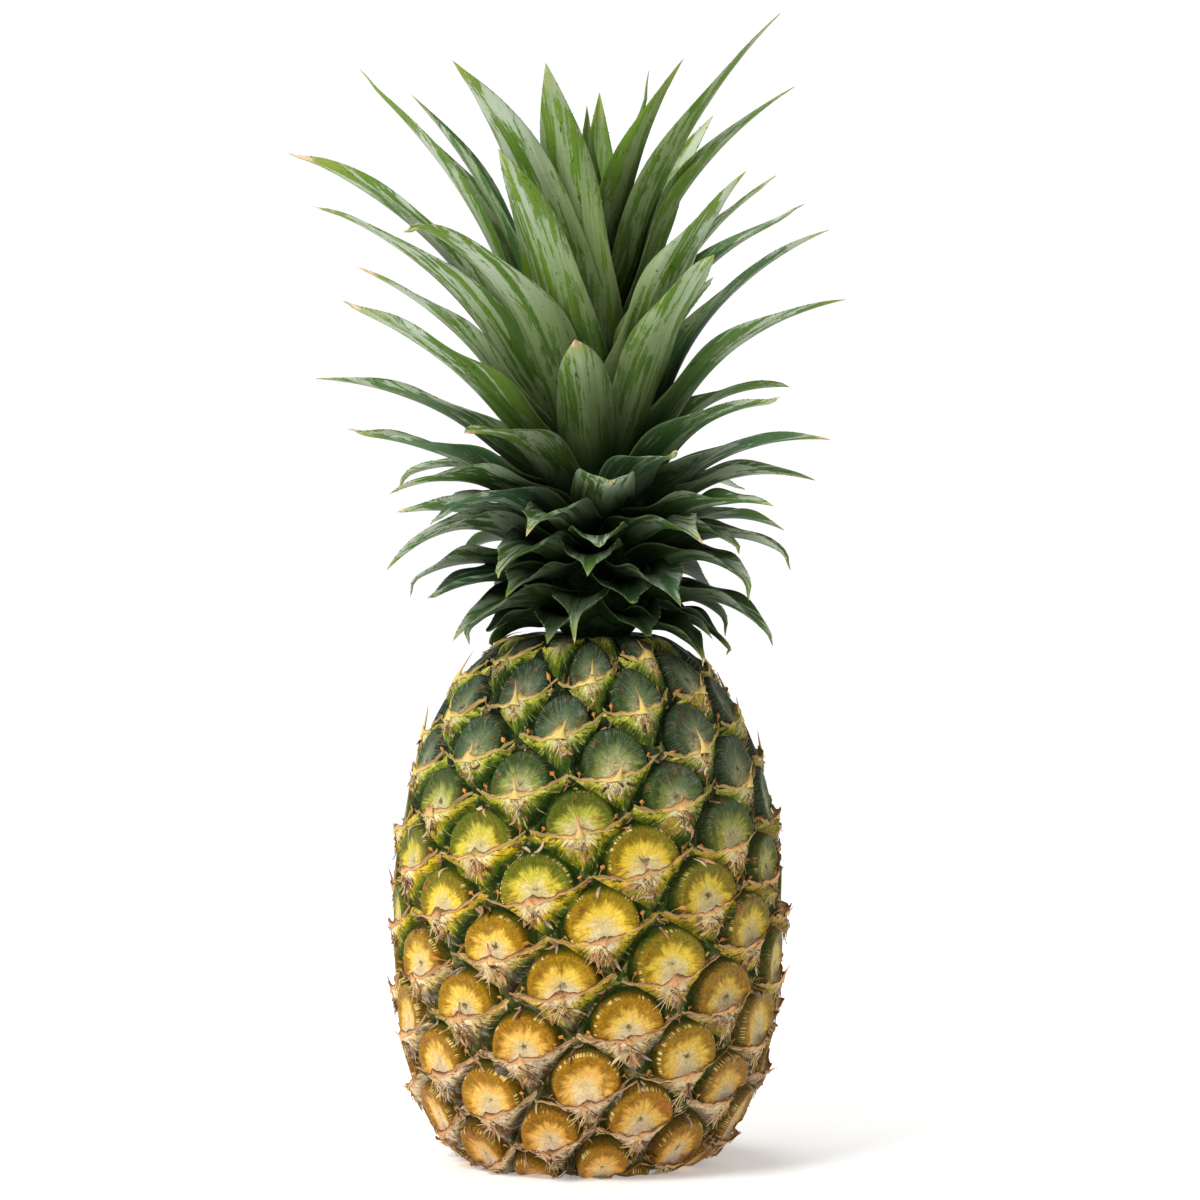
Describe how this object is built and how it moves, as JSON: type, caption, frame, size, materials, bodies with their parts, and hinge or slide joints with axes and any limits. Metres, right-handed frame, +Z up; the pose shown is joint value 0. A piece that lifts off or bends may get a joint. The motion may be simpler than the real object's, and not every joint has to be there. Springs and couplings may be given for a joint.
{
  "type": "pineapple",
  "caption": "Whole ripe pineapple standing upright: barrel-shaped fruit covered in spiralling eyes with dry bract tips, topped by a tall leafy crown.",
  "frame": {"origin": "middle of the cut stalk end that the fruit stands on", "axes": "+Z up along the fruit towards the crown, -Y towards the viewer of the picture, +X to the viewer's right"},
  "size_m": [0.1851, 0.1494, 0.381],
  "materials": {
    "rind": "waxy rind, ochre at the foot turning yellow-green and dark green at the top",
    "leaf": "waxy grey-green leaves with a silvery bloom",
    "cut_stalk": "dry fibrous cut face"
  },
  "bodies": {
    "root": {"fruit": "rind", "crown": "leaf", "stalk_end": "cut_stalk"}
  },
  "joints": []
}
